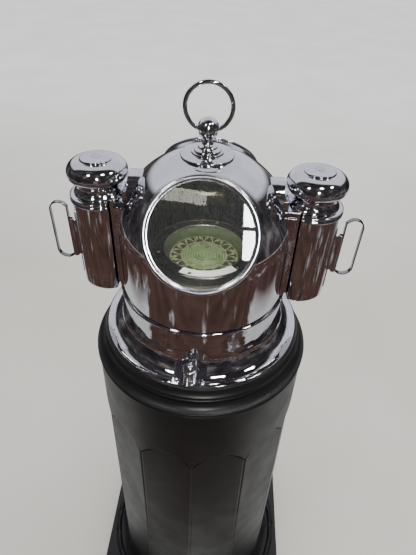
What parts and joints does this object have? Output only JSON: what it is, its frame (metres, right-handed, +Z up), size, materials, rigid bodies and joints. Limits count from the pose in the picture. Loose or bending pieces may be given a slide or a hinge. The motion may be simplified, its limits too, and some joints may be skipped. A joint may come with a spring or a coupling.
{
  "type": "compass binnacle",
  "caption": "Ship's compass binnacle: chromed hood with a sloping round window, side oil lamps and a lifting ring on a black twelve-sided column.",
  "frame": {"origin": "centre of the base plate's underside, where it stands on the deck", "axes": "+Z up the column; -Y out of the front window; +X towards the right-hand lamp as seen from the front"},
  "size_m": [0.526, 0.526, 1.3932],
  "materials": {
    "black_paint": "satin black enamel on cast aluminium",
    "chrome": "polished chrome plate",
    "brass": "brushed",
    "inner_brass": "dull nickel-brass, unpolished",
    "bowl_paint": "pale enamel",
    "ballast": "cast brass ballast, darkened",
    "label_plastic": "matte white",
    "card": "printed matte",
    "clear_glass": "clear polished",
    "cotton": "woven cotton",
    "nickel": "satin nickel plate on brass"
  },
  "bodies": {
    "pedestal": {"base_plate": "black_paint", "foot_moulding": "black_paint", "foot_lobe_ring": "black_paint", "column": "black_paint", "door_hinge": "brass", "top_collar": "black_paint", "floor_plate": "black_paint", "heeling_tube": "brass", "magnet_tray_athwart": "inner_brass", "magnet_tray_fore_aft": "inner_brass", "compass_case": "inner_brass", "gimbal_bearing_left": "inner_brass", "gimbal_bearing_right": "inner_brass"},
    "door": {"access_door": "black_paint", "door_knob": "brass"},
    "heeling_bucket": {"heeling_bucket": "brass"},
    "gimbal": {"gimbal_ring": "inner_brass"},
    "bowl": {"compass_bowl": "bowl_paint", "bezel_ring": "inner_brass", "bowl_glass": "clear_glass", "bowl_ballast": "ballast", "pivot_post": "brass", "lubber_pin": "brass", "label_plate": "label_plastic"},
    "card": {"compass_card": "card"},
    "hood": {"hood_skirt": "chrome", "hood_bead": "chrome", "hood_dome": "chrome", "front_window_collar": "chrome", "front_window_glass": "clear_glass", "rear_window_collar": "chrome", "rear_window_shutter": "inner_brass", "finial_disc": "chrome", "finial": "chrome", "light_box_left": "chrome", "light_box_right": "chrome"},
    "clamp_1": {"hood_clamp_1": "chrome"},
    "clamp_2": {"hood_clamp_2": "chrome"},
    "clamp_3": {"hood_clamp_3": "chrome"},
    "lifting_ring": {"lifting_ring": "chrome"},
    "lamp_left": {"lamp_body_left": "chrome", "lamp_window_left": "clear_glass", "lamp_top_ring_left": "chrome", "lamp_cap_left": "chrome", "lamp_font_left": "brass", "lamp_burner_left": "brass", "lamp_hinge_left": "chrome"},
    "wick_left": {"lamp_wick_left": "cotton"},
    "wick_wheel_left": {"wick_wheel_left": "nickel"},
    "lamp_handle_left": {"lamp_handle_left": "chrome"},
    "lamp_right": {"lamp_body_right": "chrome", "lamp_window_right": "clear_glass", "lamp_top_ring_right": "chrome", "lamp_cap_right": "chrome", "lamp_font_right": "brass", "lamp_burner_right": "brass", "lamp_hinge_right": "chrome"},
    "wick_right": {"lamp_wick_right": "cotton"},
    "wick_wheel_right": {"wick_wheel_right": "nickel"},
    "lamp_handle_right": {"lamp_handle_right": "chrome"}
  },
  "joints": [
    {"name": "door_swing", "type": "hinge", "parent": "pedestal", "child": "door", "pos_m": [0.09288, 0.18823, 0.56006], "axis": [0.0035, 0.0129, -0.9999], "range_deg": [0, 110]},
    {"name": "bucket_height", "type": "slide", "parent": "pedestal", "child": "heeling_bucket", "axis": [0, 0, 1], "range_m": [-0.1, 0.15]},
    {"name": "gimbal_fore_aft", "type": "hinge", "parent": "pedestal", "child": "gimbal", "pos_m": [0, 0, 1.1], "axis": [1, 0, 0], "range_deg": [-35, 35]},
    {"name": "gimbal_athwart", "type": "hinge", "parent": "gimbal", "child": "bowl", "pos_m": [0, 0, 1.1], "axis": [0, 1, 0], "range_deg": [-35, 35]},
    {"name": "card_turn", "type": "hinge", "parent": "bowl", "child": "card", "pos_m": [0, 0, 1.1], "axis": [0, 0, 1], "continuous": true},
    {"name": "hood_lift", "type": "slide", "parent": "pedestal", "child": "hood", "axis": [0, 0, 1], "range_m": [0, 0.3]},
    {"name": "ring_swing", "type": "hinge", "parent": "hood", "child": "lifting_ring", "pos_m": [0, 0, 1.326], "axis": [1, 0, 0], "range_deg": [-110, 110]},
    {"name": "clamp_turn_1", "type": "hinge", "parent": "hood", "child": "clamp_1", "pos_m": [-0.00893, -0.15975, 0.96], "axis": [0, 0, 1], "range_deg": [0, 720]},
    {"name": "clamp_turn_2", "type": "hinge", "parent": "hood", "child": "clamp_2", "pos_m": [0.14281, 0.07214, 0.96], "axis": [0, 0, 1], "range_deg": [0, 720]},
    {"name": "clamp_turn_3", "type": "hinge", "parent": "hood", "child": "clamp_3", "pos_m": [-0.13388, 0.08761, 0.96], "axis": [0, 0, 1], "range_deg": [0, 720]},
    {"name": "lamp_lift_left", "type": "slide", "parent": "hood", "child": "lamp_left", "axis": [0, 0, 1], "range_m": [0, 0.18]},
    {"name": "handle_swing_left", "type": "hinge", "parent": "lamp_left", "child": "lamp_handle_left", "pos_m": [-0.228, 0, 1.12], "axis": [0, 0, 1], "range_deg": [-90, 90]},
    {"name": "wick_wheel_turn_left", "type": "hinge", "parent": "lamp_left", "child": "wick_wheel_left", "pos_m": [-0.1754, 0, 1.098], "axis": [0, -1, 0], "range_deg": [-180, 120]},
    {"name": "wick_height_left", "type": "slide", "parent": "lamp_left", "child": "wick_left", "axis": [0, 0, 1], "range_m": [-0.009, 0.006]},
    {"name": "lamp_lift_right", "type": "slide", "parent": "hood", "child": "lamp_right", "axis": [0, 0, 1], "range_m": [0, 0.18]},
    {"name": "handle_swing_right", "type": "hinge", "parent": "lamp_right", "child": "lamp_handle_right", "pos_m": [0.228, 0, 1.12], "axis": [0, 0, 1], "range_deg": [-90, 90]},
    {"name": "wick_wheel_turn_right", "type": "hinge", "parent": "lamp_right", "child": "wick_wheel_right", "pos_m": [0.1754, 0, 1.098], "axis": [0, 1, 0], "range_deg": [-180, 120]},
    {"name": "wick_height_right", "type": "slide", "parent": "lamp_right", "child": "wick_right", "axis": [0, 0, 1], "range_m": [-0.009, 0.006]}
  ],
  "couplings": [
    {"joint": "wick_height_left", "follows": "wick_wheel_turn_left", "m_per_rad": 0.0026},
    {"joint": "wick_height_right", "follows": "wick_wheel_turn_right", "m_per_rad": 0.0026}
  ]
}
